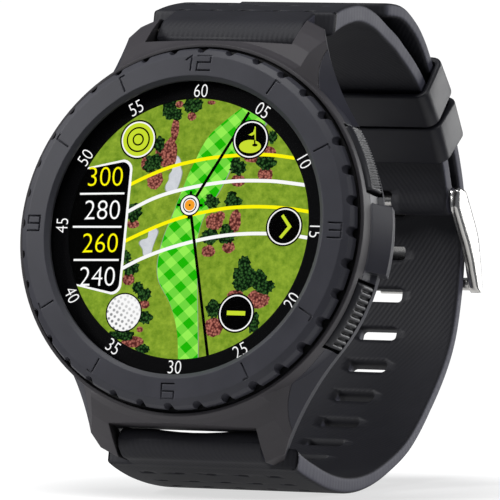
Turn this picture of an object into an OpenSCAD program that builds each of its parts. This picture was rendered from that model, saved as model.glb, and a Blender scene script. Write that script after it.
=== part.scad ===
// Golf GPS watch on a closed, buckled silicone strap.
//
// Frame: the watch stands on the bottom of its strap loop, on the plane Z = 0. +Z is up, towards
// 12 o'clock. +X is 3 o'clock, the side with the two buttons. The dial faces -Y and leans back by
// `lean`. The origin is the middle of the bounding box, at its lowest plane.
//
// The head is drawn in a local frame of its own: X is 3 o'clock, Y is 12 o'clock and Z is out of
// the dial, with Z = 0 at the highest line of the bezel. Depths behind that line are positive.
// The straps are drawn as side outlines in Y and Z, measured from the dial's centre.

/* [Head] */
// How far the dial leans back from upright, in degrees
lean = 11.5; // [8:0.5:15]
// Radius of the case at its widest line
case_r = 25.8; // [25.4:0.1:26.2]
// Depth of the widest line of the case
case_wide_d = 8.2; // [7.8:0.1:8.6]
// Depth of the underside of the case and the lugs
case_bottom_d = 12.3; // [12:0.1:12.6]
// Half the width of the gap between two lugs
lug_gap_half = 10.9; // [10.8:0.1:11.2]
// Distance from the dial's centre to the wall between two lugs
end_wall_y = 25.95; // [25.8:0.05:26.1]

/* [Bezel and glass] */
// Outer radius of the bezel
bezel_r = 24.4; // [24.2:0.1:24.5]
// Radius of the bezel's opening
bezel_open_r = 19.9; // [19.6:0.1:20.1]
// Number of notches round the bezel
notch_count = 36; // [24:12:48]
// Radius of each notch
notch_r = 0.7; // [0.5:0.1:0.8]
// Radius of the live area of the display
display_r = 17.65; // [17:0.05:18]
// Thickness of the glass
glass_t = 0.65; // [0.5:0.05:0.65]

/* [Buttons] */
// Angle of each button above or below 3 o'clock, in degrees
button_angle = 25; // [24:1:26]
// Angle that a button spans round the case, in degrees
button_span = 22; // [18:1:22]
// Radius of a button's outer face
button_r = 25.9; // [25.8:0.1:26.1]
// Height of a button along the head's axis
button_h = 4.5; // [4:0.1:4.6]
// Depth of a button's middle
button_d = 6.25; // [6.1:0.05:6.3]
// Radius of a button's stem
stem_r = 0.8; // [0.6:0.1:0.8]

/* [Spring bars] */
// Distance of each lug's spring bar from the dial's centre
bar_y = 28.2; // [28:0.1:28.4]
// Depth of each lug's spring bar
bar_d = 10; // [9.8:0.1:10.2]
// Outer radius of a spring bar's tube
bar_tube_r = 0.8; // [0.7:0.05:0.8]
// Radius of a spring bar's tip
bar_tip_r = 0.45; // [0.4:0.05:0.5]

/* [Strap] */
// Width of the strap at its shoulders
strap_shoulder_w = 28; // [26:0.5:29]
// Width of the strap at the back and in its tail
strap_w = 22.6; // [22:0.1:22.8]
// Thickness of the long strap from the loop's back to its tip
tail_t = 1.9; // [1.7:0.1:2]
// Thickness of the strap near the lugs
root_t = 2.8; // [2.6:0.1:3]
// Width of each adjustment slot
slot_w = 5.8; // [5:0.1:6.2]
// Height of each adjustment slot
slot_h = 2; // [1.6:0.1:2.2]
// Length of each keeper loop along the strap
keeper_len = 5.8; // [5:0.1:6]
// Wall of each keeper loop
keeper_wall = 0.9; // [0.8:0.05:0.95]

/* [Buckle] */
// Radius of the buckle's far bar
buckle_bar_r = 0.9; // [0.8:0.05:0.95]
// Thickness of each side rail of the buckle
rail_t = 1.5; // [1.3:0.1:1.6]
// Width of the tongue
tongue_w = 5.2; // [4.6:0.1:5.4]

/* [Hidden] */
$fn = 96;
face_h = 36.582;                    // height of the dial's centre above the ground
row_shift = [-0.662, -33.337, 0];  // puts the middle of the bounding box over the origin
fit = 0.05;                     // running clearance on a radius
skin = 0.03;                    // half the gap along a parting line
eps = 0.01;
big = 80;

// Depths of the stack behind the dial
glass_d = 1;
ring_d = 1.7;
shelf_d = 3;
panel_d = 1.95;
parting_d = 4.8;
chassis_d = 5.45;
board_d = 6.6;
stem_d = 6.75;
cell_d = 8.5;
sensor_d = 11.5;
back_d = case_bottom_d + 0.05;

// ---- frames ----
module head() {
  translate(row_shift) translate([0, 0, face_h]) rotate([90 - lean, 0, 0]) children();
}
module side_frame() {
  translate(row_shift) translate([0, 0, face_h]) children();
}
module at_depth(d) { translate([0, 0, -d]) children(); }
module disc(r, d1, d2) { at_depth(d2) cylinder(h = d2 - d1, r = r); }
module ring(r_out, r_in, d1, d2) {
  difference() {
    disc(r_out, d1, d2);
    disc(r_in, d1 - 1, d2 + 1);
  }
}
module block(x1, x2, y1, y2, d1, d2) {
  translate([x1, y1, -d2]) cube([x2 - x1, y2 - y1, d2 - d1]);
}
module at_button(side) {
  rotate([0, 0, side * button_angle]) at_depth(stem_d) rotate([0, 90, 0]) children();
}

// ---- curves through a few points, for the straps' side outlines ----
function bend(a, b, c, d, u) = 0.5 * (2 * b + (c - a) * u + (2 * a - 5 * b + 4 * c - d) * u * u
  + (3 * b - a - 3 * c + d) * u * u * u);
function near(p, i) = p[max(0, min(len(p) - 1, i))];
function curve_at(p, t) = let (i = min(len(p) - 2, floor(t)))
  bend(near(p, i - 1), near(p, i), near(p, i + 1), near(p, i + 2), t - i);
function unit(v) = v / norm(v);
function heading(p, t) = unit(curve_at(p, min(len(p) - 1, t + 0.05)) - curve_at(p, max(0, t - 0.05)));
function left_of(v) = [-v[1], v[0]];
function mix(a, b, u) = a + (b - a) * max(0, min(1, u));
// Outline of a band of thickness t(k) centred on the curve, from knot k1 to knot k2
module band(p, k1, k2, t_start, t_end, t_fade, steps = 4) {
  ks = [for (i = [0 : steps * (k2 - k1)]) k1 + i / steps];
  h = [for (k = ks) mix(t_start, t_end, (k - k1) / t_fade) / 2];
  mid = [for (k = ks) curve_at(p, k)];
  out = [for (k = ks) left_of(heading(p, k))];
  n = len(ks) - 1;
  polygon(concat([for (i = [0 : n]) mid[i] + out[i] * h[i]],
    [for (i = [n : -1 : 0]) mid[i] - out[i] * h[i]]));
}
// Extrudes a side outline, drawn as [Y, Z], along X between two planes
module across(x1, x2) {
  rotate([90, 0, 90]) translate([0, 0, x1]) linear_extrude(height = x2 - x1) children();
}
module on_side(p, x1, x2, r) {
  translate([x1, p[0], p[1]]) rotate([0, 90, 0]) cylinder(h = x2 - x1, r = r);
}

// ---- places in the side view, as [Y, Z] from the dial's centre ----
function in_side(y, d) = [y * sin(lean) + d * cos(lean), y * cos(lean) - d * sin(lean)];
bar_12 = in_side(bar_y, bar_d);
bar_6 = in_side(-bar_y, bar_d);
hinge = [62.9, 2];
pin_r = 0.55;
far_bar = [68.8, -9.6];
long_path = [bar_6, [9, -32], [17, -34.3], [25, -35.4], [33, -35.2], [41, -33.6], [49, -30.8],
  [57, -25.4], [63.4, -18.5], [66.3, -11], [67.3, -3.5], [66.8, 2.8], [64.9, 8.3], [62.3, 12.8],
  [58.9, 16.7], [55.8, 20.6], [53.2, 23.8], [50, 26.4], [45.4, 28.4], [38.2, 28.8]];
short_path = [bar_12, [19.3, 27.2], [24, 28.1], [29, 28.3], [34.5, 27.3], [39.5, 25.6],
  [44.2, 23.9], [48.6, 21.5], [52.6, 18.6], [56.7, 14.2], [60.2, 9], hinge];
slot_knots = [4.97, 5.67, 6.32, 6.93, 7.55, 8.2, 8.93, 9.72];
engaged_knot = 10.72;
keeper_fixed_knot = 9.62;
keeper_free_knot = 8.56;

// ---- bezel and glass ----
// One stroke of an engraved mark on the bezel, between two points
module stroke(a, b, w = 0.22) {
  v = b - a;
  translate([a[0], a[1], -0.42]) rotate([0, 0, atan2(v[1], v[0])])
    translate([-w / 2, -w / 2, 0]) cube([norm(v) + w, w, 1]);
}
module strokes(points) {
  for (i = [0 : len(points) - 2]) stroke(points[i], points[i + 1]);
}
module mark_12() {
  strokes([[-1.9, 0.4], [-1.1, 1], [-1.1, -1]]);
  strokes([[-0.2, 1], [1.7, 1], [1.7, 0.1], [-0.2, 0.1], [-0.2, -1], [1.7, -1]]);
}
module mark_3() {
  strokes([[-0.9, 1], [0.9, 1], [0.9, -1], [-0.9, -1]]);
  strokes([[-0.7, 0], [0.9, 0]]);
}
module mark_6() { strokes([[0.9, 1], [-0.9, 1], [-0.9, -1], [0.9, -1], [0.9, 0], [-0.9, 0]]); }
module mark_9() { strokes([[-0.9, -1], [0.9, -1], [0.9, 1], [-0.9, 1], [-0.9, 0], [0.9, 0]]); }
module bezel() {
  mark_r = 22.2;
  color([0.29, 0.29, 0.31]) head() difference() {
    rotate_extrude() polygon([[bezel_open_r, -0.95], [bezel_open_r, -0.45], [20.5, 0], [23.2, -0.3],
      [24.1, -0.8], [bezel_r, -1.5], [bezel_r, -2.6], [24, -2.95], [20.75, -2.95], [20.75, -0.95]]);
    for (i = [0 : notch_count - 1]) rotate([0, 0, i * 360 / notch_count])
      translate([bezel_r - 0.05, 0, -4]) cylinder(h = 5, r = notch_r, $fn = 24);
    for (hour = [1, 2, 4, 5, 7, 8, 10, 11]) rotate([0, 0, -30 * hour])
      strokes([[0, 21], [0, 23.1], [0.7, 23.1]]);
    translate([0, mark_r, 0]) mark_12();
    translate([mark_r, 0, 0]) mark_3();
    translate([0, -mark_r, 0]) mark_6();
    translate([-mark_r, 0, 0]) mark_9();
  }
}
module glass() { color([0.04, 0.04, 0.05, 0.5]) head() disc(20.6, glass_d, glass_d + glass_t); }
module dial_ring() {
  color([0.03, 0.03, 0.04]) head() ring(20.6, display_r, ring_d, ring_d + 0.15);
}
module glass_seal() { color("black") head() ring(20.6, 19.2, ring_d + 0.2, shelf_d - fit); }
module display_panel() { color([0.5, 0.65, 0.2]) head() disc(18.4, panel_d, panel_d + 0.95); }
module display_backing() { color([0.6, 0.6, 0.62]) head() disc(18.2, panel_d + 1, panel_d + 1.4); }
module display_ribbon() {
  top_d = panel_d + 1.45;
  color([0.75, 0.45, 0.1]) head() {
    block(-3.5, 3.5, -17.6, -17.45, top_d, board_d - fit);
    block(-3.5, 3.5, -17.45, -13, top_d, top_d + 0.15);
    block(-3.5, 3.5, -17.45, -14.5, board_d - fit - 0.15, board_d - fit);
  }
}

// ---- case ----
lug_tip = [14.2, 28.5];
lug_tip_inner = [9, 30.86];     // inside the gap, which trims it
lug_tip_past = [16.02, 27.67];  // past the flank, which trims it
flank_r = 38;  // each flank is hollow, runs on from the round case and ends at the lug's tip
flank_far = case_r + flank_r;
lug_turn = atan2(lug_tip[1], lug_tip[0]) - acos((flank_far * flank_far + lug_tip * lug_tip
  - flank_r * flank_r) / (2 * flank_far * norm(lug_tip)));
bevel_up = 35;
bevel_down = 20;
// Everything under the sloping top of the case
module dome() {
  rotate_extrude() polygon([[0, -13], [0, -shelf_d], [24.6, -shelf_d], [24.6, -2.8], [24.85, -2.5],
    [25.25, -2.5], [25.6, -3.3], [26.2, -4.1], [28.3, -5.7], [30.2, -7.6], [31.8, -9.5],
    [32.5, -11], [33, -13]]);
}
// Cuts a lug's hollow flank, bevelled above and below the case's widest line
module flank_cut() {
  rotate([0, 0, lug_turn]) translate([flank_far, 0, -case_wide_d]) rotate_extrude($fn = 180)
    polygon([[0, -20], [flank_r + 20 * tan(bevel_down), -20], [flank_r, 0],
      [flank_r + 20 * tan(bevel_up), 20], [0, 20]]);
}
module lug() {
  difference() {
    at_depth(case_bottom_d) linear_extrude(height = case_bottom_d) polygon([[0, 0],
      [26.5 * cos(lug_turn), 26.5 * sin(lug_turn)], lug_tip_past, lug_tip_inner,
      [9, 20], [0, 20]]);
    flank_cut();
  }
}
module all_lugs() {
  for (flip_x = [0, 1], flip_y = [0, 1])
    mirror([flip_x, 0, 0]) mirror([0, flip_y, 0]) lug();
}
module case_outside() {
  top_r = case_r - case_wide_d * tan(bevel_up);
  low_h = case_bottom_d - case_wide_d;
  intersection() {
    dome();
    union() {
      at_depth(case_wide_d) cylinder(h = case_wide_d, r1 = case_r, r2 = top_r);
      at_depth(case_bottom_d) cylinder(h = low_h, r1 = case_r - low_h * tan(bevel_down), r2 = case_r);
      ring(25.3, 10, 2, case_wide_d);
      block(-12, 12, -end_wall_y - 1, end_wall_y + 1, 2, case_bottom_d);
      all_lugs();
    }
  }
}
// The strap's space between the lugs, with the case's underside cut back behind the wall
module lug_gaps() {
  for (flip = [0, 1]) mirror([0, flip, 0]) {
    block(-lug_gap_half, lug_gap_half, end_wall_y, 40, 0, 20);
    translate([0, end_wall_y, -10.4]) rotate([-45, 0, 0])
      translate([-neck_half, 0, -6]) cube([2 * neck_half, 8, 6]);
  }
}
module bar_holes() {
  for (y = [-bar_y, bar_y]) translate([0, y, -bar_d]) rotate([0, 90, 0])
    cylinder(h = 24.6, r = bar_tip_r + fit, center = true);
}
// The parting surface: nearly flat round the dial, and falling to the points of the lugs
function parting_z(y) = -(parting_d + 6.2 * pow(abs(y) / 28.5, 6));
module above_parting(gap) {
  ys = [for (i = [-31 : 31]) i];
  rotate([90, 0, 90]) translate([0, 0, -big / 2]) linear_extrude(height = big)
    polygon(concat([for (y = ys) [y, parting_z(y) + gap]], [[31, 5], [-31, 5]]));
}
chassis_screw_turns = [15, 75, 135, 195, 255, 315];
chassis_screw_place = 20.75;
back_screw_place = 20.3;
back_screw_turns = [52, 128, 232, 308];
module case_top() {
  color([0.33, 0.32, 0.33]) head() difference() {
    intersection() {
      case_outside();
      above_parting(skin);
    }
    disc(18.9, 0, 20);
    disc(22, chassis_d - fit, 20);
    lug_gaps();
    bar_holes();
    button_pocket(-1);
    button_pocket(1);
    for (t = chassis_screw_turns) rotate([0, 0, t]) translate([chassis_screw_place, 0, -12])
      cylinder(h = 8.3, r = 0.55);
  }
}
// A pocket for one button, cut into the side of the case
module button_pocket(side) {
  span = button_span + 1.6;
  top_z = -button_d + button_h / 2 + 0.15;
  low_z = -button_d - button_h / 2 - 0.2;
  rotate([0, 0, side * button_angle - span / 2]) rotate_extrude(angle = span)
    polygon([[23.9, low_z], [29, low_z], [29, top_z], [23.9, top_z]]);
}
// The block that stands between the two buttons
module guard() {
  intersection() {
    rotate_extrude() polygon([[20, -11.2], [26, -11.2], [27.1, -7.9], [24.5, -4.2], [20, -4.2]]);
    block(20, 30, -4.6, 4.6, 0, 20);
  }
}
module case_middle() {
  color([0.30, 0.30, 0.33]) head() difference() {
    union() {
      case_outside();
      guard();
    }
    above_parting(-skin);
    disc(19.6, 0, 20);
    difference() {
      disc(22, chassis_d - fit, 20);
      for (t = back_screw_turns) rotate([0, 0, t]) translate([back_screw_place + 1, 0, 0])
        disc(2.6, 9, case_bottom_d);
    }
    for (t = back_screw_turns) rotate([0, 0, t]) translate([back_screw_place, 0, -20])
      cylinder(h = 10.5, r = 0.65);
    for (t = chassis_screw_turns) rotate([0, 0, t]) translate([chassis_screw_place, 0, -6])
      cylinder(h = 5, r = 0.7);
    ring(22, 21.2, case_bottom_d - 0.75, case_bottom_d + 1);
    lug_gaps();
    bar_holes();
    for (side = [-1, 1]) {
      button_pocket(side);
      at_button(side) translate([0, 0, 20]) cylinder(h = 6, r = stem_r + fit);
      at_button(side) translate([0, 0, 22.5]) cylinder(h = 3, r = seal_r + fit);
    }
  }
}
module chassis() {
  color([0.75, 0.75, 0.72]) head() difference() {
    disc(21.9, chassis_d, chassis_d + 0.6);
    block(-4.2, 4.2, -18.4, -16.9, 0, 20);
    for (t = chassis_screw_turns) rotate([0, 0, t]) translate([chassis_screw_place, 0, -10])
      cylinder(h = 9, r = 0.6);
    for (side = [-1, 1]) rotate([0, 0, side * button_angle]) block(20.3, 23, -1.6, 1.6, 0, 20);
  }
}
module chassis_screws() {
  color("silver") head() for (t = chassis_screw_turns)
    rotate([0, 0, t]) translate([chassis_screw_place, 0, 0]) {
      disc(0.5, 3.8, chassis_d + 1);
      disc(1, chassis_d + 0.65, chassis_d + 1.1);
    }
}

// ---- electronics ----
module gps_antenna() { color([0.85, 0.83, 0.75]) head() block(-6, 6, 8, 16, 4.2, chassis_d - fit); }
module circuit_board() {
  color([0.05, 0.3, 0.15]) head() difference() {
    disc(19.2, board_d, board_d + 0.8);
    for (t = chassis_screw_turns) rotate([0, 0, t]) translate([chassis_screw_place, 0, 0])
      disc(1.7, 0, 20);
    for (side = [-1, 1]) rotate([0, 0, side * button_angle])
      block(17.58, 22, -1.82, 1.82, 0, 20);
  }
}
module shield_cans() {
  can_d = board_d + 0.82;
  color([0.8, 0.8, 0.82]) head() {
    block(-11, -1, -6, 8, can_d, can_d + 0.95);
    block(1, 11, -8, 5, can_d, can_d + 0.95);
  }
}
module battery() { color([0.7, 0.72, 0.75]) head() disc(13, cell_d, cell_d + 2.9); }
module vibration_motor() {
  color([0.75, 0.75, 0.78]) head() translate([-17.3, 0, 0]) disc(4, cell_d, cell_d + 2.8);
}
module sensor_board() { color([0.05, 0.3, 0.15]) head() disc(8.5, sensor_d, sensor_d + 0.6); }
module sensor_window() {
  color([0.02, 0.02, 0.02]) head() disc(6.9, back_d + 1.55, back_d + 2.15);
}
contact_xs = [-4.5, -1.5, 1.5, 4.5];
contact_y = -14.5;
module charge_contacts() {
  color([0.85, 0.68, 0.3]) head() for (x = contact_xs) translate([x, contact_y, 0]) {
    disc(0.8, case_bottom_d - 0.6, back_d + 1.4);
  }
}

// ---- buttons ----
// Each is a cap on a stem that runs through a seal in the wall and works a switch on the board
module button_cap(side) {
  half_h = button_h / 2;
  difference() {
    rotate([0, 0, side * button_angle - button_span / 2]) at_depth(button_d)
      rotate_extrude(angle = button_span) polygon([[24.6, -half_h], [button_r - 0.4, -half_h],
        [button_r, -half_h + 0.4], [button_r, half_h - 1.1], [button_r - 0.5, half_h - 0.3],
        [button_r - 1, half_h], [24.6, half_h]]);
    at_button(side) translate([0, 0, 24]) cylinder(h = 1.25, r = stem_r + fit);
  }
}
module stem(side) { at_button(side) translate([0, 0, 21.05]) cylinder(h = 4.15, r = stem_r); }
clip_r = 1.25;
seal_r = 1.35;
module clip(side) {
  at_button(side) translate([0, 0, 21.35]) difference() {
    cylinder(h = 0.35, r = clip_r);
    translate([0, 0, -1]) cylinder(h = 3, r = stem_r + 0.01);
  }
}
module stem_seal(side) {
  at_button(side) translate([0, 0, 22.55]) difference() {
    cylinder(h = 0.7, r = seal_r);
    translate([0, 0, -1]) cylinder(h = 3, r = stem_r + 0.02);
  }
}
// The return spring, drawn at its pressed length and carried by the cap
module button_spring(side) {
  at_button(side) translate([0, 0, 23.87]) difference() {
    cylinder(h = 0.7, r = seal_r - 0.1);
    translate([0, 0, -1]) cylinder(h = 3, r = stem_r + 0.15);
  }
}
module switch_box(side) {
  difference() {
    rotate([0, 0, side * button_angle]) block(17.6, 20.5, -1.8, 1.8, board_d - 0.5, board_d + 0.9);
    at_button(side) translate([0, 0, 19.3]) cylinder(h = 2, r = 0.4 + fit);
  }
}
module plunger(side) { at_button(side) translate([0, 0, 20]) cylinder(h = 1.03, r = 0.4); }
module switch_upper() { color([0.15, 0.15, 0.15]) head() switch_box(1); }
module switch_lower() { color([0.15, 0.15, 0.15]) head() switch_box(-1); }
module plunger_upper() { color("white") head() plunger(1); }
module plunger_lower() { color("white") head() plunger(-1); }
module button_cap_upper() { color([0.22, 0.22, 0.24]) head() button_cap(1); }
// Ribs run across the lower button, along the head's axis
module button_cap_lower() {
  rib_step = 2;
  color([0.22, 0.22, 0.24]) head() difference() {
    button_cap(-1);
    for (i = [-4.5 : 4.5]) rotate([0, 0, -button_angle + i * rib_step])
      translate([button_r + 0.1, 0, -button_d]) cylinder(h = button_h + 1, r = 0.3, center = true);
  }
}
module button_stem_upper() { color("silver") head() stem(1); }
module button_stem_lower() { color("silver") head() stem(-1); }
module stem_clip_upper() { color("gray") head() clip(1); }
module stem_clip_lower() { color("gray") head() clip(-1); }
module stem_seal_upper() { color("black") head() stem_seal(1); }
module stem_seal_lower() { color("black") head() stem_seal(-1); }
module button_spring_upper() { color("gold") head() button_spring(1); }
module button_spring_lower() { color("gold") head() button_spring(-1); }

// ---- back of the case ----
module case_back() {
  color([0.2, 0.2, 0.21]) head() difference() {
    union() {
      disc(22.8, back_d, back_d + 1.2);
      at_depth(back_d + 2) cylinder(h = 0.8, r1 = 9, r2 = 10.5);
    }
    disc(7, back_d + 1.5, 20);
    disc(5.5, 0, 20);
    for (t = back_screw_turns) rotate([0, 0, t]) translate([back_screw_place, 0, 0]) {
      disc(0.8, 0, 20);
      disc(1.45, back_d + 0.6, 20);
    }
    for (x = contact_xs) translate([x, contact_y, 0]) disc(0.8 + fit, 0, 20);
  }
}
module back_seal() { color("black") head() ring(21.9, 21.3, case_bottom_d - 0.7, back_d - 0.02); }
module back_screws() {
  color("silver") head() for (t = back_screw_turns)
    rotate([0, 0, t]) translate([back_screw_place, 0, 0]) {
      disc(0.6, 10, back_d + 0.7);
      difference() {
        disc(1.35, back_d + 0.65, back_d + 1.15);
        block(-1.5, 1.5, -0.18, 0.18, back_d + 0.9, back_d + 2);
        block(-0.18, 0.18, -1.5, 1.5, back_d + 0.9, back_d + 2);
      }
    }
}

// ---- spring bars ----
tube_half = lug_gap_half - 1.3;
tip_travel = 1.25;  // enough to bring a tip out of its lug
module tube(p, half) {
  difference() {
    on_side(p, -half, half, bar_tube_r);
    on_side(p, -half - 1, half + 1, bar_tip_r + fit + 0.05);
  }
}
module tip(p, side) {
  x1 = tube_half - 2.2;
  x2 = lug_gap_half + 1.2;
  if (side > 0) on_side(p, x1, x2, bar_tip_r);
  else on_side(p, -x2, -x1, bar_tip_r);
}
// The spring between two tips, drawn at its fully pressed length
module bar_spring(p) {
  spring_half = tube_half - 2.25 - tip_travel;
  difference() {
    on_side(p, -spring_half, spring_half, bar_tip_r);
    on_side(p, -tube_half, tube_half, bar_tip_r - 0.2);
  }
}
module bar_tube_12() { color("silver") side_frame() tube(bar_12, tube_half); }
module bar_tube_6() { color("silver") side_frame() tube(bar_6, tube_half); }
module bar_tip_12_left() { color("silver") side_frame() tip(bar_12, -1); }
module bar_tip_12_right() { color("silver") side_frame() tip(bar_12, 1); }
module bar_tip_6_left() { color("silver") side_frame() tip(bar_6, -1); }
module bar_tip_6_right() { color("silver") side_frame() tip(bar_6, 1); }
module bar_spring_12() { color("gold") side_frame() bar_spring(bar_12); }
module bar_spring_6() { color("gold") side_frame() bar_spring(bar_6); }

// ---- strap ----
barrel_r = 1.8;
neck_half = lug_gap_half - 0.3;
shoulder_half = strap_shoulder_w / 2;
strap_half = strap_w / 2;
// Everything behind the lugs, where the strap may be wider than the gap between them
module behind_lugs() {
  rotate([90 - lean, 0, 0]) translate([-big / 2, -big / 2, -big - case_bottom_d - 0.4])
    cube([big, big, big]);
}
// Plan of the strap from the lugs to the back of the loop
module plan(taper_end) {
  translate([0, 0, -big / 2]) linear_extrude(height = big) polygon([[-shoulder_half, 0],
    [-shoulder_half, 13], [-strap_half - 1.3, 32], [-strap_half, taper_end], [-strap_half, 75],
    [strap_half, 75], [strap_half, taper_end], [strap_half + 1.3, 32], [shoulder_half, 13],
    [shoulder_half, 0]]);
}
// A slot across the strap at knot k of a path
module slot_at(p, k, w, h) {
  c = curve_at(p, k);
  v = heading(p, k);
  translate([0, c[0], c[1]]) rotate([atan2(v[1], v[0]), 0, 0]) cube([w, h, 6], center = true);
}
module strap_short() {
  last = len(short_path) - 1;
  color([0.13, 0.13, 0.14]) side_frame() difference() {
    union() {
      across(-neck_half, neck_half) band(short_path, 0, 2, root_t, root_t, 1);
      on_side(bar_12, -neck_half, neck_half, barrel_r);
      intersection() {
        across(-shoulder_half, shoulder_half) band(short_path, 0, last, root_t, 2.3, 5);
        behind_lugs();
        plan(46);
      }
      on_side(hinge, -strap_half, strap_half, 1.9);
    }
    on_side(bar_12, -big, big, bar_tube_r + fit);
    on_side(hinge, -big, big, pin_r + fit);
    translate([0, hinge[0], hinge[1] - 1.28]) cube([tongue_w + 0.8, 8, 5.4], center = true);
  }
}
module strap_long() {
  last = len(long_path) - 1;
  color([0.13, 0.13, 0.14]) side_frame() difference() {
    union() {
      across(-neck_half, neck_half) band(long_path, 0, 2, root_t, root_t, 1);
      on_side(bar_6, -neck_half, neck_half, barrel_r);
      intersection() {
        across(-shoulder_half, shoulder_half) band(long_path, 0, 9, root_t, tail_t, 5);
        behind_lugs();
        plan(56);
      }
      across(-strap_half, strap_half) band(long_path, 9, last, tail_t, tail_t, 1);
    }
    on_side(bar_6, -big, big, bar_tube_r + fit);
    for (k = slot_knots) slot_at(long_path, k, slot_w, slot_h);
    slot_at(long_path, engaged_knot, slot_w, 2.8);
  }
}
// A keeper: a rounded band round both layers of strap, drawn round its own middle
module keeper(p, k, inward, outward) {
  c = curve_at(p, k);
  v = heading(p, k);
  half_in = strap_half + 0.3;
  half_out = half_in + keeper_wall;
  translate([0, c[0], c[1]]) rotate([atan2(v[1], v[0]), 0, 0])
    translate([0, keeper_len / 2, 0]) rotate([90, 0, 0]) linear_extrude(height = keeper_len)
      difference() {
        translate([-half_out, -inward - keeper_wall])
          square([2 * half_out, inward + outward + 2 * keeper_wall]);
        translate([-half_in, -inward]) square([2 * half_in, inward + outward]);
      }
}
keeper_in = 1.75;
keeper_out = 4.85;
module keeper_fixed() {
  color([0.14, 0.14, 0.15]) side_frame() keeper(short_path, keeper_fixed_knot, keeper_in, keeper_out);
}
module keeper_free() {
  color([0.14, 0.14, 0.15]) side_frame() keeper(short_path, keeper_free_knot, keeper_in, keeper_out);
}

// ---- buckle ----
rail_x = strap_half + 0.4;
rail_mid = [67, -4];
module buckle_pin() { color("silver") side_frame() on_side(hinge, -rail_x - 1, rail_x + 1, pin_r); }
module rail_outline() {
  hull() {
    translate(hinge) circle(r = 1.9, $fn = 32);
    translate(rail_mid) circle(r = 1.5, $fn = 32);
  }
  hull() {
    translate(rail_mid) circle(r = 1.5, $fn = 32);
    translate(far_bar) circle(r = buckle_bar_r + 0.3, $fn = 32);
  }
}
module buckle_frame() {
  color([0.78, 0.77, 0.75]) side_frame() difference() {
    union() {
      across(rail_x, rail_x + rail_t) rail_outline();
      across(-rail_x - rail_t, -rail_x) rail_outline();
      on_side(far_bar, -rail_x - rail_t, rail_x + rail_t, buckle_bar_r);
    }
    on_side(hinge, -rail_x - 1.05, rail_x + 1.05, pin_r + fit);
  }
}
// The tongue: a knuckle on the pin and a bar that runs out through a slot and down over the far bar
tongue_t = 1;
tongue_knee = [69.4, 0.2];
tongue_rise = [70.5, -9.4];
tongue_end = [70.5, -10.8];
module tongue_leg(a, b) {
  v = b - a;
  translate(a) rotate(atan2(v[1], v[0])) translate([0, -tongue_t / 2])
    square([norm(v), tongue_t]);
  translate(b) circle(r = tongue_t / 2, $fn = 32);
}
module buckle_tongue() {
  color([0.8, 0.79, 0.77]) side_frame() difference() {
    union() {
      on_side(hinge, -tongue_w / 2, tongue_w / 2, 1.05);
      across(-tongue_w / 2, tongue_w / 2) {
        tongue_leg(hinge, tongue_knee);
        tongue_leg(tongue_knee, tongue_rise);
        tongue_leg(tongue_rise, tongue_end);
      }
    }
    on_side(hinge, -big, big, pin_r + fit);
  }
}

bezel();
glass();
dial_ring();
glass_seal();
display_panel();
display_backing();
display_ribbon();
case_top();
case_middle();
chassis();
chassis_screws();
gps_antenna();
circuit_board();
shield_cans();
battery();
vibration_motor();
switch_upper();
switch_lower();
plunger_upper();
plunger_lower();
button_cap_upper();
button_cap_lower();
button_stem_upper();
button_stem_lower();
stem_clip_upper();
stem_clip_lower();
stem_seal_upper();
stem_seal_lower();
button_spring_upper();
button_spring_lower();
sensor_board();
sensor_window();
charge_contacts();
case_back();
back_seal();
back_screws();
bar_tube_12();
bar_tip_12_left();
bar_tip_12_right();
bar_spring_12();
bar_tube_6();
bar_tip_6_left();
bar_tip_6_right();
bar_spring_6();
strap_short();
strap_long();
keeper_fixed();
keeper_free();
buckle_pin();
buckle_frame();
buckle_tongue();
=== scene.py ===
import bpy
import bmesh
import math
import random
from mathutils import Matrix, Vector


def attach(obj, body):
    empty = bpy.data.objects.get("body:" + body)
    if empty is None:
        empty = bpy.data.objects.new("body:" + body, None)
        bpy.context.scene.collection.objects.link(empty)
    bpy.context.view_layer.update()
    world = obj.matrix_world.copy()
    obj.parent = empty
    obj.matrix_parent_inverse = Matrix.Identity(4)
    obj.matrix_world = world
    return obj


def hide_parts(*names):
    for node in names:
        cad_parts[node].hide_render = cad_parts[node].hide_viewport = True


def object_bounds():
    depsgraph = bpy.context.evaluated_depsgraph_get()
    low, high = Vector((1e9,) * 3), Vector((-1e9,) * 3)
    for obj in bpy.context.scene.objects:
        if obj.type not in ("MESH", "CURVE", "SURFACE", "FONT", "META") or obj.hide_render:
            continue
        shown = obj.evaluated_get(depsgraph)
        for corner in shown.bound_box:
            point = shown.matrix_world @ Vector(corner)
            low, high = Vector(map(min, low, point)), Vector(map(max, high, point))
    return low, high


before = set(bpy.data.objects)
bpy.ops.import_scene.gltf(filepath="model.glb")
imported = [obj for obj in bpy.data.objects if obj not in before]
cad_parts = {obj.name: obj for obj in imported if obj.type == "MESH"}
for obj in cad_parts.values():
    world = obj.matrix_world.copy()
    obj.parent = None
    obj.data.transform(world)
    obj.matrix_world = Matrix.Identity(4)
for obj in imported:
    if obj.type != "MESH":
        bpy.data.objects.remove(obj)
cad_box = [list(p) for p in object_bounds()]
scene = bpy.context.scene
scene.view_settings.view_transform = "Standard"
MM = 0.001
CASE = "watch"

# ---- the two frames: the dial's own, and the side view of the strap ----
LEAN = math.radians(11.5)
DIAL = Vector((-0.662, -33.337, 36.582)) * MM
HEAD = Matrix.Translation(DIAL) @ Matrix.Rotation(math.radians(90) - LEAN, 4, "X")


def side(y, z, x=0.0):
    """A point of the side view, in millimetres from the dial's centre, as metres in the frame."""
    return DIAL + Vector((x, y, z)) * MM


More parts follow.
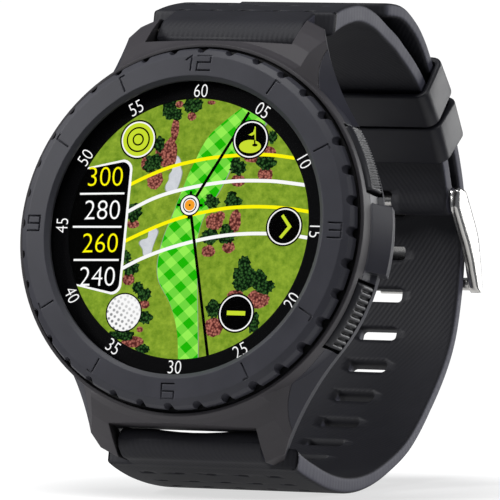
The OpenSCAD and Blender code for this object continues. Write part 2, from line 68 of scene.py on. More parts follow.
# ---- small helpers ----
def new_object(name, mesh, mat, smooth=True, body=CASE, matrix=None, stands_for=()):
    """A piece that rides on body; it takes the place of the CAD nodes in stands_for."""
    mesh.materials.clear()
    mesh.materials.append(mat)
    for p in mesh.polygons:
        p.use_smooth = smooth
        p.material_index = 0
    obj = bpy.data.objects.new(name, mesh)
    scene.collection.objects.link(obj)
    if matrix is not None:
        obj.matrix_world = matrix
    bpy.context.view_layer.update()
    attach(obj, body)
    if stands_for:
        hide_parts(*stands_for)
    return obj


def mesh_of(name, verts, faces):
    """A mesh from points in metres, with its faces turned outward."""
    mesh = bpy.data.meshes.new(name)
    mesh.from_pydata([tuple(v) for v in verts], [], faces)
    bm = bmesh.new()
    bm.from_mesh(mesh)
    bmesh.ops.recalc_face_normals(bm, faces=bm.faces)
    bm.to_mesh(mesh)
    bm.free()
    return mesh


def finished(bm, name):
    """A new mesh from bm, which is freed."""
    mesh = bpy.data.meshes.new(name)
    bm.to_mesh(mesh)
    bm.free()
    return mesh


def nodes_of(mat):
    mat.use_nodes = True
    return mat.node_tree.nodes, mat.node_tree.links


def node(tree, kind, **values):
    """A new shader node; in_Name=value sets its input Name, and any other name an attribute."""
    n = tree.nodes.new(kind)
    for key, value in values.items():
        if key.startswith("in_"):
            n.inputs[key[3:].replace("_", " ")].default_value = value
        else:
            setattr(n, key, value)
    return n


def remap(tree, value, start, stop, low=0.0, high=1.0, **how):
    """The output of a node that maps value from start..stop to low..high, and no further."""
    n = node(tree, "ShaderNodeMapRange", clamp=True, in_From_Min=start, in_From_Max=stop,
             in_To_Min=low, in_To_Max=high, **how)
    tree.links.new(value, n.inputs["Value"])
    return n.outputs["Result"]


def combine(tree, operation, first, second, vectors=False):
    """The output of a Math or Vector Math node on an output and an output or a number."""
    n = node(tree, "ShaderNodeVectorMath" if vectors else "ShaderNodeMath", operation=operation)
    tree.links.new(first, n.inputs[0])
    if isinstance(second, bpy.types.NodeSocket):
        tree.links.new(second, n.inputs[1])
    elif second is not None:
        n.inputs[1].default_value = second
    return n.outputs["Value"]


def mix_colour(tree, factor, first, second):
    """The output of a node that mixes two colours by factor; first is an output or a colour."""
    n = node(tree, "ShaderNodeMix", data_type="RGBA")
    n.inputs["B"].default_value = second
    tree.links.new(factor, n.inputs["Factor"])
    if isinstance(first, bpy.types.NodeSocket):
        tree.links.new(first, n.inputs["A"])
    else:
        n.inputs["A"].default_value = first
    return n.outputs["Result"]


def relief(tree, height, normal, strength, distance):
    """The normal of a surface with a bump of this height, in millimetres, over another normal."""
    n = node(tree, "ShaderNodeBump", in_Strength=strength, in_Distance=distance * MM)
    tree.links.new(height, n.inputs["Height"])
    tree.links.new(normal, n.inputs["Normal"])
    return n.outputs["Normal"]


def srgb(r, g, b):
    """A colour given as it looks on a screen, 0 to 255."""
    out = []
    for c in (r, g, b):
        c = c / 255
        out.append(c / 12.92 if c <= 0.04045 else ((c + 0.055) / 1.055) ** 2.4)
    return (*out, 1.0)


# ---- materials ----
def moulded(name, colour, rough, grain=5200, grain_depth=0.012, edge=0.22, edge_light=1.5,
            spec=0.5, shade_reach=0.0):
    """Moulded resin or rubber: fine grain, faint mottling, and rounded edges painted paler as a
    highlight.

    edge is the edges' radius and edge_light how much paler the painted edge highlight makes them.
    shade_reach is how near, in millimetres, other surfaces must be for painted shade to darken a
    recess.
    """
    mat = bpy.data.materials.new(name)
    nodes, links = nodes_of(mat)
    tree = mat.node_tree
    bsdf = nodes["Principled BSDF"]
    bsdf.inputs["Specular IOR Level"].default_value = spec
    coord = node(tree, "ShaderNodeTexCoord")
    fine = node(tree, "ShaderNodeTexNoise", in_Scale=grain, in_Detail=3.0, in_Roughness=0.6)
    broad = node(tree, "ShaderNodeTexNoise", in_Scale=160.0, in_Detail=4.0, in_Roughness=0.6)
    for noise in (fine, broad):
        links.new(coord.outputs["Object"], noise.inputs["Vector"])
    bevel = node(tree, "ShaderNodeBevel", samples=4, in_Radius=edge * MM)
    rounded = bevel.outputs["Normal"]
    links.new(relief(tree, fine.outputs["Fac"], rounded, 0.6, grain_depth), bsdf.inputs["Normal"])
    flat = node(tree, "ShaderNodeNewGeometry").outputs["Normal"]
    # painted highlight: the edges are made paler where the bevel's rounded normal turns away from
    # the flat one
    edge_highlight = remap(tree, combine(tree, "DOT_PRODUCT", rounded, flat, vectors=True), 0.995, 0.85)
    mottle_and_shade = remap(tree, broad.outputs["Fac"], 0.3, 0.7, 0.88, 1.12)
    if shade_reach:
        # painted shade: recesses and narrow gaps are darkened by how near other surfaces are, as if
        # little light reaches them
        corner = node(tree, "ShaderNodeAmbientOcclusion", samples=8, in_Distance=shade_reach * MM)
        mottle_and_shade = combine(tree, "MULTIPLY", mottle_and_shade, remap(tree, corner.outputs["AO"], 0.35, 0.85))
    tone = node(tree, "ShaderNodeMix", data_type="RGBA", blend_type="MULTIPLY")
    tone.inputs["Factor"].default_value = 1.0
    tone.inputs["A"].default_value = colour
    links.new(mottle_and_shade, tone.inputs["B"])
    paler = tuple(min(1.0, c * edge_light) for c in colour[:3]) + (1.0,)
    links.new(mix_colour(tree, edge_highlight, tone.outputs["Result"], paler), bsdf.inputs["Base Color"])
    links.new(remap(tree, broad.outputs["Fac"], 0, 1, rough - 0.07, rough + 0.07),
              bsdf.inputs["Roughness"])
    return mat


def metal(name, colour, rough=0.28, brush=(2500, 120, 2500)):
    """Steel or plating with a brushed grain and softened edges."""
    mat = bpy.data.materials.new(name)
    nodes, links = nodes_of(mat)
    tree = mat.node_tree
    bsdf = nodes["Principled BSDF"]
    bsdf.inputs["Base Color"].default_value = colour
    bsdf.inputs["Metallic"].default_value = 1.0
    coord = node(tree, "ShaderNodeTexCoord")
    scale = node(tree, "ShaderNodeMapping", in_Scale=brush)
    grain = node(tree, "ShaderNodeTexNoise", in_Scale=1.0, in_Detail=4.0)
    links.new(coord.outputs["Object"], scale.inputs["Vector"])
    links.new(scale.outputs["Vector"], grain.inputs["Vector"])
    links.new(remap(tree, grain.outputs["Fac"], 0, 1, rough - 0.1, rough + 0.12),
              bsdf.inputs["Roughness"])
    bevel = node(tree, "ShaderNodeBevel", samples=4, in_Radius=0.15 * MM)
    links.new(relief(tree, grain.outputs["Fac"], bevel.outputs["Normal"], 0.35, 0.004),
              bsdf.inputs["Normal"])
    return mat


def lit(name, colour, other=None, scale=600, contrast=(0.35, 0.65), cells=False):
    """A lit area of the display, in one colour or mottled between two."""
    mat = bpy.data.materials.new(name)
    nodes, links = nodes_of(mat)
    tree = mat.node_tree
    bsdf = nodes["Principled BSDF"]
    bsdf.inputs["Base Color"].default_value = (0.0, 0.0, 0.0, 1)
    bsdf.inputs["Roughness"].default_value = 0.6
    bsdf.inputs["Specular IOR Level"].default_value = 0.0
    bsdf.inputs["Emission Strength"].default_value = 1.0
    if other is None:
        bsdf.inputs["Emission Color"].default_value = colour
        return mat
    coord = node(tree, "ShaderNodeTexCoord")
    if cells:
        tex = node(tree, "ShaderNodeTexVoronoi", in_Scale=scale)
        value = tex.outputs["Distance"]
    else:
        tex = node(tree, "ShaderNodeTexNoise", in_Scale=scale, in_Detail=5.0, in_Roughness=0.7)
        value = tex.outputs["Fac"]
    links.new(coord.outputs["Object"], tex.inputs["Vector"])
    links.new(mix_colour(tree, remap(tree, value, *contrast), colour, other),
              bsdf.inputs["Emission Color"])
    return mat


def glass_material():
    """Coated glass: clear, with a trace of gloss."""
    mat = bpy.data.materials.new("anti_glare_glass")
    nodes, links = nodes_of(mat)
    nodes.remove(nodes["Principled BSDF"])
    tree = mat.node_tree
    clear = node(tree, "ShaderNodeBsdfTransparent")
    gloss = node(tree, "ShaderNodeBsdfGlossy", in_Roughness=0.12)
    mix = node(tree, "ShaderNodeMixShader", in_Fac=0.002)
    links.new(clear.outputs["BSDF"], mix.inputs[1])
    links.new(gloss.outputs["BSDF"], mix.inputs[2])
    links.new(mix.outputs["Shader"], nodes["Material Output"].inputs["Surface"])
    return mat


bezel_mat = moulded("bezel_resin", srgb(63, 63, 71), 0.5, edge_light=1.35)
top_mat = moulded("case_top_resin", srgb(67, 64, 68), 0.5, grain=6500, edge_light=1.3, shade_reach=3.5)
mid_mat = moulded("case_side_resin", srgb(50, 50, 60), 0.4, grain=7000, edge_light=1.35, shade_reach=3.0)
back_mat = moulded("case_back_resin", srgb(40, 40, 43), 0.55)
button_mat = moulded("button_resin", srgb(33, 33, 39), 0.4, shade_reach=1.5)
black_mat = moulded("black_resin", srgb(18, 18, 20), 0.5)
seal_mat = moulded("seal_rubber", srgb(14, 14, 15), 0.7)
ring_mat = moulded("ring_print", srgb(6, 6, 8), 0.6, spec=0.05, edge_light=1.0)
chassis_mat = moulded("chassis_resin", srgb(180, 180, 172), 0.55)
ceramic_mat = moulded("antenna_ceramic", srgb(214, 208, 188), 0.6)
board_mat = moulded("board_resist", srgb(20, 92, 48), 0.35, grain=1500)
cell_mat = metal("cell_foil", srgb(190, 194, 198), 0.4, brush=(900, 900, 900))
steel_mat = metal("turned_steel", srgb(238, 234, 226), 0.42)
buckle_mat = metal("buckle_steel", srgb(232, 230, 226), 0.2, brush=(9000, 500, 500))
gold_mat = metal("gold_contact", srgb(222, 176, 92), 0.25)
amber_mat = moulded("amber_film", srgb(176, 110, 30), 0.35)
white_mat = moulded("white_resin", srgb(224, 224, 218), 0.5)
window_mat = moulded("sensor_window", srgb(10, 10, 12), 0.12, grain_depth=0.001, edge_light=1.0)
glass_mat = glass_material()

# every CAD node's own finish; the others are turned steel
finishes = {
    bezel_mat: ["bezel"], top_mat: ["case_top"], mid_mat: ["case_middle"], back_mat: ["case_back"],
    glass_mat: ["glass"], ring_mat: ["dial_ring"], amber_mat: ["display_ribbon"],
    seal_mat: ["glass_seal", "back_seal", "stem_seal_upper", "stem_seal_lower"],
    chassis_mat: ["chassis"], ceramic_mat: ["gps_antenna"], cell_mat: ["battery"],
    board_mat: ["circuit_board", "sensor_board"], black_mat: ["switch_upper", "switch_lower"],
    white_mat: ["plunger_upper", "plunger_lower"], window_mat: ["sensor_window"],
    button_mat: ["button_cap_upper", "button_cap_lower"], gold_mat: ["charge_contacts"],
    buckle_mat: ["buckle_pin", "buckle_frame", "buckle_tongue"],
}
finish_of = {name: mat for mat, names in finishes.items() for name in names}
for name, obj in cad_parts.items():
    obj.data.materials.clear()
    obj.data.materials.append(finish_of.get(name, steel_mat))

# ---- the display's picture: thin plates stacked on the panel, in the dial's own frame ----
PANEL_TOP, LAYER, FILM = -1.95, 0.008, 0.006      # the panel's face, a layer's step, a plate
RING_TOP = -1.699                                  # just above the dial ring's printed face
ART = (0.33, -0.15)                                # the picture's middle on the dial
LIVE_R = 18.0                                      # the picture's edge


def raise_faces(bm, faces, thick):
    """Makes flat faces into plates of this thickness, in millimetres."""
    made = bmesh.ops.extrude_face_region(bm, geom=faces)
    top = [v for v in made["geom"] if isinstance(v, bmesh.types.BMVert)]
    bmesh.ops.translate(bm, verts=top, vec=(0, 0, thick * MM))


def plate(name, outlines, layer, mat, thick=FILM):
    """Plates with these outlines, in millimetres, this many layers above the panel."""
    z = PANEL_TOP + layer * LAYER
    bm = bmesh.new()
    for outline in outlines:
        low = [bm.verts.new(((x + ART[0]) * MM, (y + ART[1]) * MM, z * MM)) for x, y in outline]
        raise_faces(bm, [bm.faces.new(low)], thick)
    bmesh.ops.recalc_face_normals(bm, faces=bm.faces)
    bmesh.ops.triangulate(bm, faces=[f for f in bm.faces if len(f.verts) > 4])
    return new_object(name, finished(bm, name), mat, smooth=False, matrix=HEAD)


def circle(cx, cy, r, n=48, squash=1.0):
    """A circle's outline; squash makes it lower than it is wide."""
    turns = [2 * math.pi * i / n for i in range(n)]
    return [(cx + r * math.cos(a), cy + squash * r * math.sin(a)) for a in turns]


def ribbon(points, width):
    """The outline of a line of this width through points."""
    left, right = [], []
    for i, (x, y) in enumerate(points):
        x0, y0 = points[max(0, i - 1)]
        x1, y1 = points[min(len(points) - 1, i + 1)]
        d = math.hypot(x1 - x0, y1 - y0)
        nx, ny = -(y1 - y0) / d * width / 2, (x1 - x0) / d * width / 2
        left.append((x + nx, y + ny))
        right.append((x - nx, y - ny))
    return left + right[::-1]


def spline_point(a, b, c, d, u):
    """The point at u, from 0 to 1, between b and c on a Catmull-Rom curve."""
    return tuple(0.5 * (2 * b[k] + (c[k] - a[k]) * u
                        + (2 * a[k] - 5 * b[k] + 4 * c[k] - d[k]) * u * u
                        + (3 * b[k] - a[k] - 3 * c[k] + d[k]) * u ** 3) for k in range(2))


def smooth_line(points, per=6, closed=False):
    """A smooth curve through points, with this many steps between two of them."""
    n = len(points)
    out = []
    for i in range(n if closed else n - 1):
        near = [i + k if not closed else (i + k) % n for k in (-1, 0, 1, 2)]
        four = [points[max(0, min(n - 1, k))] for k in near]
        out += [spline_point(*four, j / per) for j in range(per)]
    if not closed:
        out.append(tuple(points[-1]))
    return out


def inside_dial(outline, r=LIVE_R):
    """Pulls points that lie past the live area back to its edge."""
    out = []
    for x, y in outline:
        d = math.hypot(x, y)
        out.append((x * r / d, y * r / d) if d > r else (x, y))
    return out


def blob(rng, cx, cy, rx, ry, rough, n=30):
    """The ragged outline of a bush or a tree seen from above."""
    out = []
    for i in range(n):
        a = 2 * math.pi * i / n
        k = 1 + rough * (rng.random() - 0.5) * 2
        out.append((cx + rx * k * math.cos(a), cy + ry * k * math.sin(a)))
    return inside_dial(out)


grass_mat = lit("lit_grass", srgb(92, 128, 26), srgb(152, 180, 56), 900, (0.28, 0.72))
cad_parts["display_panel"].data.materials[0] = grass_mat
black_lit = lit("lit_black", srgb(3, 3, 3))
white_lit = lit("lit_white", srgb(250, 250, 250))
yellow_lit = lit("lit_yellow", srgb(252, 244, 10))
lime_lit = lit("lit_lime", srgb(200, 222, 48))
orange_lit = lit("lit_orange", srgb(246, 160, 40))
sand_lit = lit("lit_sand", srgb(198, 202, 208), srgb(214, 217, 222), 900)
edge_lit = lit("lit_edge", srgb(150, 156, 150))
tree_lit = lit("lit_tree", srgb(56, 100, 46), srgb(8, 26, 10), 2800, (0.1, 0.62), True)
bush_lit = lit("lit_bush", srgb(196, 120, 104), srgb(84, 36, 34), 3000, (0.1, 0.7), True)

fairway_left = [(6.5, 17.0), (4.2, 15.3), (1.8, 13.2), (0.6, 11.4), (-0.2, 9.6), (-1, 7.8),
                (-1.7, 5.8), (-2.3, 4), (-3, 1.8), (-3.9, -0.8), (-4.4, -3.2), (-4.5, -5),
                (-4.2, -6.7), (-3.4, -8.1), (-2.3, -9.6), (-1.4, -11.4), (-0.7, -13.4),
                (-0.3, -15.4), (0, -18)]
fairway_right = [(3, -18), (2.7, -15), (2.4, -12.5), (2.1, -10), (1.8, -7.5), (1.5, -5),
                 (1.1, -2.6), (1.2, -0.8), (1.6, 1.2), (2.4, 3), (3.6, 5), (4.6, 7), (5.4, 9),
                 (6.4, 11), (8, 13.4), (9.8, 14.6), (8.2, 16.2)]
fairway = inside_dial(smooth_line(fairway_left, 5)[::-1] + smooth_line(fairway_right, 5)[::-1])
MOWN_PAIR = 2.4      # a light and a dark stripe together, in millimetres


def fairway_material():
    """Mown squares: two sets of stripes cross, and both together make the dark squares."""
    mat = lit("lit_fairway", srgb(120, 220, 62))
    nodes, links = nodes_of(mat)
    tree = mat.node_tree
    coord = node(tree, "ShaderNodeTexCoord")
    stripes = []
    for direction, shift in (((0.68, 0.73, 0), 0.25), ((-0.66, 0.75, 0), 0.1)):
        along = combine(tree, "DOT_PRODUCT", coord.outputs["Object"], direction, vectors=True)
        cells = combine(tree, "MULTIPLY_ADD", along, 1 / (MOWN_PAIR * MM))
        cells.node.inputs[2].default_value = 20 + shift
        part = combine(tree, "FRACT", cells, None)
        stripes.append(combine(tree, "GREATER_THAN", part, 0.5))
    half = combine(tree, "MULTIPLY", combine(tree, "ADD", *stripes), 0.5)
    ramp = node(tree, "ShaderNodeValToRGB")
    ramp.color_ramp.interpolation = "CONSTANT"
    ramp.color_ramp.elements[0].color = srgb(150, 238, 84)
    ramp.color_ramp.elements[1].position = 0.4
    ramp.color_ramp.elements[1].color = srgb(112, 214, 62)
    ramp.color_ramp.elements.new(0.9).color = srgb(30, 182, 6)
    links.new(half, ramp.inputs["Fac"])
    links.new(ramp.outputs["Color"], nodes["Principled BSDF"].inputs["Emission Color"])
    return mat


fairway_lit = fairway_material()
plate("art_fairway_edge", [fairway], 1, edge_lit, 0.004)
plate("art_fairway", [inside_dial([(x * 0.975 - 0.02, y) for x, y in fairway])], 2, fairway_lit)

bunkers = [
    [(-2.9, 10), (-2.4, 9.4), (-2.3, 8.6), (-2, 7.8), (-2.1, 6.9), (-2.3, 6.1), (-2.7, 5.2),
     (-3.6, 4.8), (-4.3, 5.2), (-4.4, 5.9), (-4, 6.7), (-4, 7.4), (-3.6, 8.1), (-3.8, 9.1),
     (-3.5, 9.9)],
    [(-5, 0.1), (-4.7, -0.4), (-5, -1.4), (-5.3, -2.4), (-5.6, -3.6), (-6.6, -3.7), (-6.9, -2.8),
     (-7.5, -2), (-7.2, -1.5), (-6.3, -1.2), (-6.2, -0.4), (-5.8, 0.1)],
]
plate("art_bunker_edges", [smooth_line(b, 4, True) for b in bunkers], 2, edge_lit)
shrunk = []
for b in bunkers:
    cx = sum(p[0] for p in b) / len(b)
    cy = sum(p[1] for p in b) / len(b)
    inner = [(cx + (x - cx) * 0.9, cy + (y - cy) * 0.95) for x, y in b]
    shrunk.append(smooth_line(inner, 4, True))
plate("art_bunkers", shrunk, 4, sand_lit)

# Trees and bushes: centre, half width, half height
bush_places = [(-3.4, 17, 0.6, 0.5), (-1.4, 15.4, 0.65, 0.6), (1.3, 17.3, 0.6, 0.3),
               (-4.2, 10.2, 1.1, 2.2), (-3.7, 13.6, 0.6, 1.7), (-5.4, 10.6, 0.9, 1.2),
               (-4.7, 9.2, 0.9, 0.8), (-6, 6.7, 1.2, 1.3), (-7.6, 8.9, 0.7, 1),
               (-8.6, 0.6, 0.9, 0.6), (-8.5, -6.9, 0.9, 0.8), (-5.8, -10.2, 0.8, 0.6),
               (-6.1, -13.6, 0.5, 0.4), (-7, -15.3, 1.6, 0.8), (9.9, 10.8, 1.6, 0.8),
               (8.3, 9.8, 1.5, 0.5), (10.2, 7.7, 1.1, 1.1), (6.3, 6.8, 1.1, 0.8),
               (3.4, 1.2, 1.3, 1.2), (4.1, 1.9, 0.8, 0.7), (6.4, 1.3, 0.9, 1.6),
               (2.9, -2.8, 1, 0.8), (5.8, -2.2, 0.95, 0.8), (7.5, -8.7, 1.2, 0.8),
               (10.9, -9.1, 1.6, 1.3), (4.7, -13, 1.4, 1.3)]
tree_places = [(-4.8, 16.4, 1.1, 1.4), (-3.8, 15.7, 1, 0.9), (-1.6, 16.9, 1.2, 1),
               (-0.8, 16.9, 0.9, 0.9), (-5.8, 11.6, 0.8, 1.1), (-6.4, 9.1, 1.3, 1.1),
               (-6.9, 8.4, 1, 0.8), (-8.6, 2.2, 1.2, 1.3), (-9.2, -3.8, 0.8, 0.8),
               (-8.3, -5.3, 1.3, 1), (-7, -8, 0.8, 0.8), (-5.9, -8.9, 1.1, 0.9),
               (-5.5, -12, 1.1, 0.9), (-8.7, -14.4, 1.8, 0.8), (-5.4, -16.2, 1, 0.6),
               (10.7, 12.8, 0.7, 0.9), (10.2, 9.3, 1.4, 1.1), (6.1, 8.5, 1.2, 1),
               (5.7, 9.4, 0.7, 0.7), (2.8, 3.8, 1.1, 0.8), (2.4, 4.4, 0.6, 0.6),
               (5.9, 3.9, 1.3, 0.8), (5.6, 4.8, 0.7, 0.6), (2.9, -0.9, 1.3, 1.1),
               (5.4, -0.7, 1.2, 1.1), (5.2, 0.4, 0.7, 0.6), (8.4, -4.2, 0.9, 0.9),
               (8.5, -5.7, 1.6, 1.4), (8.3, -7.1, 1.4, 1), (10.6, -6.3, 1.2, 1.2),
               (11.6, -7.4, 1.6, 1), (4.5, -10.6, 1.3, 1.2), (10.5, -12.3, 0.9, 1.4)]
rng = random.Random(7)
plate("art_bushes", [blob(rng, *b, 0.07) for b in bush_places], 5, bush_lit, 0.004)
plate("art_trees", [blob(rng, *t, 0.2, 26) for t in tree_places], 6, tree_lit, 0.004)

yellow_arcs = [
    [(-9.7, 5.9), (-7, 7.2), (-4, 8.4), (-1, 9.2), (2, 9.8), (5, 10.15), (8, 10.35), (11, 10.35),
     (14.3, 10)],
    [(-9.7, -1.8), (-7, -0.5), (-4, 0.8), (-1, 1.8), (2, 2.5), (5, 3.05), (8, 3.3), (11, 3.35),
     (14, 3.2), (17.3, 2.8)]]
white_arcs = [
    [(-9.7, 2.2), (-6.5, 3.9), (-3.5, 5), (0, 5.85), (3, 6.4), (6, 6.75), (9, 6.85), (12, 6.8),
     (16.2, 6.4)],
    [(-9.7, -5.5), (-7, -4.1), (-4, -2.9), (-1, -1.95), (2, -1.2), (5, -0.65), (8, -0.35),
     (11, -0.25), (14, -0.3), (17.4, -0.7)]]
plate("art_yellow_arcs", [ribbon(smooth_line(a), 0.48) for a in yellow_arcs], 7, yellow_lit)
plate("art_white_arcs", [ribbon(smooth_line(a), 0.48) for a in white_arcs], 7, white_lit)
plate("art_shot_line", [ribbon([(7.0, 16.1), (0.3, 4.4)], 0.42),
                        ribbon([(-0.1, 1.9), (4.3, -17)], 0.42)], 8, black_lit)

# Aim mark, in rings from the outside in
ax, ay = -0.45, 3.35
plate("art_aim_rim", [circle(ax, ay, 1.5), ribbon([(ax - 1.9, ay), (ax + 1.9, ay)], 0.36),
                      ribbon([(ax, ay - 1.9), (ax, ay + 1.9)], 0.36)], 9, black_lit)
for layer, (name, r, n, mat) in enumerate((
        ("white", 1.32, 48, white_lit), ("black", 1.02, 48, black_lit),
        ("inner", 0.86, 48, white_lit), ("orange", 0.74, 48, orange_lit),
        ("dot", 0.14, 12, black_lit)), 10):
    plate("art_aim_" + name, [circle(ax, ay, r, n)], layer, mat)

# Round icons
icons = {"target": (-9, 12.1), "flag": (7.6, 12.4), "next": (13.7, 0.75), "less": (7.85, -11.05),
         "ball": (-8.7, -11.4)}
plate("art_icon_discs", [circle(*c, 2.68, 64) for c in icons.values()], 8, black_lit)
rims = [circle(*c, 2.46, 64) for k, c in icons.items() if k != "ball"]
plate("art_icon_rims", rims, 9, white_lit)
fields = [circle(*icons[k], 2.28, 64) for k in ("flag", "next", "less")]
plate("art_icon_fields", fields, 10, black_lit)
for i, r in enumerate((2.26, 1.72, 1.5, 0.84, 0.62)):
    plate("art_target_%d" % i, [circle(*icons["target"], r, 56)], 10 + i,
          black_lit if i % 2 else lime_lit)


def at(icon, points):
    """Points given from an icon's middle."""
    cx, cy = icons[icon]
    return [(cx + x, cy + y) for x, y in points]


cx, cy = icons["flag"]
plate("art_flag_green", [circle(cx, cy - 0.95, 1.6, 40, 0.56)], 11, lime_lit)
plate("art_flag_cup", [circle(cx + 0.7, cy - 0.75, 0.4, 20, 0.5),
                       ribbon(at("flag", [(0.68, -0.75), (0.52, 0.5)]), 0.2)], 12, black_lit)
plate("art_flag_pole", [ribbon(at("flag", [(0.67, -0.1), (0.48, 1.75)]), 0.17)], 12, lime_lit)
plate("art_flag", [at("flag", [(0.5, 1.75), (0.62, 0.5), (0.52, 0.5), (0.4, 1)]),
                   at("flag", [(-0.4, 0.62), (0.25, 1.0), (0.48, 1.7), (0.5, 0.75), (0.1, 0.5)])],
      11, lime_lit)
plate("art_next", [at("next", [(-0.6, 1.4), (-0.25, 1.65), (1.1, 0), (-0.25, -1.65),
                               (-0.6, -1.4), (0.5, 0)])], 11, lime_lit)
plate("art_less", [ribbon(at("less", [(-1.35, 0), (1.35, 0)]), 0.6)], 11, lime_lit)


def ball_material(cx, cy):
    """A golf ball: rows of dimples, shaded towards the lower left."""
    mat = lit("lit_ball", srgb(250, 250, 250))
    nodes, links = nodes_of(mat)
    tree = mat.node_tree
    place = node(tree, "ShaderNodeTexCoord").outputs["Object"]
    turn = node(tree, "ShaderNodeMapping", in_Rotation=(0, 0, 0.5))
    cells = node(tree, "ShaderNodeTexVoronoi", in_Scale=1500.0, in_Randomness=0.15)
    links.new(place, turn.inputs["Vector"])
    links.new(turn.outputs["Vector"], cells.inputs["Vector"])
    spot = remap(tree, cells.outputs["Distance"], 0.4, 0.22)
    dark = (-0.6, -0.8, 0)
    middle = (dark[0] * (cx + ART[0]) + dark[1] * (cy + ART[1])) * MM
    along = combine(tree, "DOT_PRODUCT", place, dark, vectors=True)
    shade = remap(tree, along, middle - 1.6 * MM, middle + 2.2 * MM, 0.3, 0.9)
    both = combine(tree, "MULTIPLY", spot, shade)
    links.new(mix_colour(tree, both, srgb(250, 250, 250), srgb(70, 72, 78)),
              nodes["Principled BSDF"].inputs["Emission Color"])
    return mat


cx, cy = icons["ball"]
plate("art_ball", [circle(cx, cy, 2.5, 64)], 9, ball_material(cx, cy))


# Distance list: a black panel with a white rim and three rules
def rounded_panel(x0, x1, y0, y1, r):
    """A panel with round corners on the right, cut by the dial's edge on the left."""
    pts = [(x0, y0)]
    for cy, first in ((y0 + r, -math.pi / 2), (y1 - r, 0.0)):
        for i in range(9):
            a = first + math.pi / 2 * i / 8
            pts.append((x1 - r + r * math.cos(a), cy + r * math.sin(a)))
    steps = 24
    for i in range(steps):
        pts.append((x0, y1 + (y0 - y1) * i / steps))
    return inside_dial(pts, LIVE_R + 0.35)


plate("art_list_rim", [rounded_panel(-19, -9.45, -9, 9.35, 1.4)], 8, white_lit)
plate("art_list", [rounded_panel(-19, -9.8, -8.65, 9, 1.15)], 9, black_lit)
rules = [[(-16.9, 4.55), (-10.3, 4.75)], [(-17.5, 0.05), (-10.25, 0.2)],
         [(-16.9, -4.45), (-10.2, -4.3)]]
plate("art_list_rules", [ribbon(rule, 0.27) for rule in rules], 10, white_lit)


def numerals(name, entries, height, z, mats, widen):
    """Flat numerals: (text, x, y, turn in degrees), with their middles at x, y."""
    for i, (text, x, y, turn) in enumerate(entries):
        curve = bpy.data.curves.new("%s_%d" % (name, i), "FONT")
        curve.body = text
        curve.align_x, curve.align_y = "CENTER", "CENTER"
        curve.resolution_u = 4
        curve.offset = -0.012
        temp = bpy.data.objects.new("temp", curve)
        scene.collection.objects.link(temp)
        bpy.context.view_layer.update()
        mesh = bpy.data.meshes.new_from_object(temp)
        bpy.data.objects.remove(temp)
        xs = [v.co.x for v in mesh.vertices]
        ys = [v.co.y for v in mesh.vertices]
        k = height / (max(ys) - min(ys)) * MM
        sin, cos = math.sin(math.radians(turn)), math.cos(math.radians(turn))
        for v in mesh.vertices:
            px = (v.co.x - (min(xs) + max(xs)) / 2) * k * widen
            py = (v.co.y - (min(ys) + max(ys)) / 2) * k
            v.co = (x * MM + px * cos - py * sin, y * MM + px * sin + py * cos, z * MM)
        bm = bmesh.new()
        bm.from_mesh(mesh)
        bmesh.ops.remove_doubles(bm, verts=bm.verts, dist=1e-7)
        raise_faces(bm, list(bm.faces), FILM)
        bmesh.ops.recalc_face_normals(bm, faces=bm.faces)
        bm.to_mesh(mesh)
        bm.free()
        new_object("%s_%s" % (name, text), mesh, mats[i % len(mats)], smooth=False, matrix=HEAD)


numerals("art_yards", [("300", -13.0, 6.85, 1.5), ("280", -13.0, 2.3, 1.5),
                       ("260", -12.85, -2.2, 1.5), ("240", -12.8, -6.75, 1.5)],
         2.6, PANEL_TOP + 10 * LAYER, [yellow_lit, white_lit], 0.96)
MINUTE_R = 18.72
minutes = []
for k in range(12):
    a = math.radians(90 - 30 * k)
    turn = -30 * k + (180 if 4 <= k <= 8 else 0)      # the lower ones read from below
    text = "%02d" % (5 * k) if k else "60"
    minutes.append((text, MINUTE_R * math.cos(a), MINUTE_R * math.sin(a), turn))
numerals("art_minute", minutes, 1.75, RING_TOP, [white_lit], 0.84)


# ---- strap: its two halves follow paths in the side view, in millimetres ----
def catmull(points, t):
    """The point at t, counted in knots, on the smooth path through points."""
    i = min(len(points) - 2, int(t))
    four = [points[max(0, min(len(points) - 1, i + k))] for k in (-1, 0, 1, 2)]
    return Vector(spline_point(*four, t - i))


def tangent(points, t):
    """The direction of the path at t."""
    last = len(points) - 1
    return (catmull(points, min(last, t + 0.05)) - catmull(points, max(0, t - 0.05))).normalized()


def left_of(heading):
    """The direction a quarter turn to the left."""
    return Vector((-heading[1], heading[0]))


def lerp(a, b, u):
    """From a to b as u goes from 0 to 1, and no further."""
    return a + (b - a) * max(0.0, min(1.0, u))


def smoothstep(u):
    u = max(0.0, min(1.0, u))
    return u * u * (3 - 2 * u)


def corners(half_x, half_y, r, steps):
    """A rectangle with round corners: (x, y, outward x, outward y) at steps + 1 points a corner."""
    out = []
    for sx, sy, first in ((1, 1, 0), (-1, 1, 90), (-1, -1, 180), (1, -1, 270)):
        for i in range(steps + 1):
            a = math.radians(first + 90 * i / steps)
            cos, sin = math.cos(a), math.sin(a)
            out.append((sx * (half_x - r) + r * cos, sy * (half_y - r) + r * sin, cos, sin))
    return out


def skin(rings):
    """The faces of a closed tube through rings of equally many vertex numbers."""
    n = len(rings[0])
    faces = [(a[i], a[(i + 1) % n], b[(i + 1) % n], b[i])
             for a, b in zip(rings, rings[1:]) for i in range(n)]
    return faces + [tuple(rings[0]), tuple(rings[-1][::-1])]


SIN, COS = math.sin(LEAN), math.cos(LEAN)
HEAD_UP = Vector((SIN, COS))
HEAD_BACK = Vector((COS, -SIN))
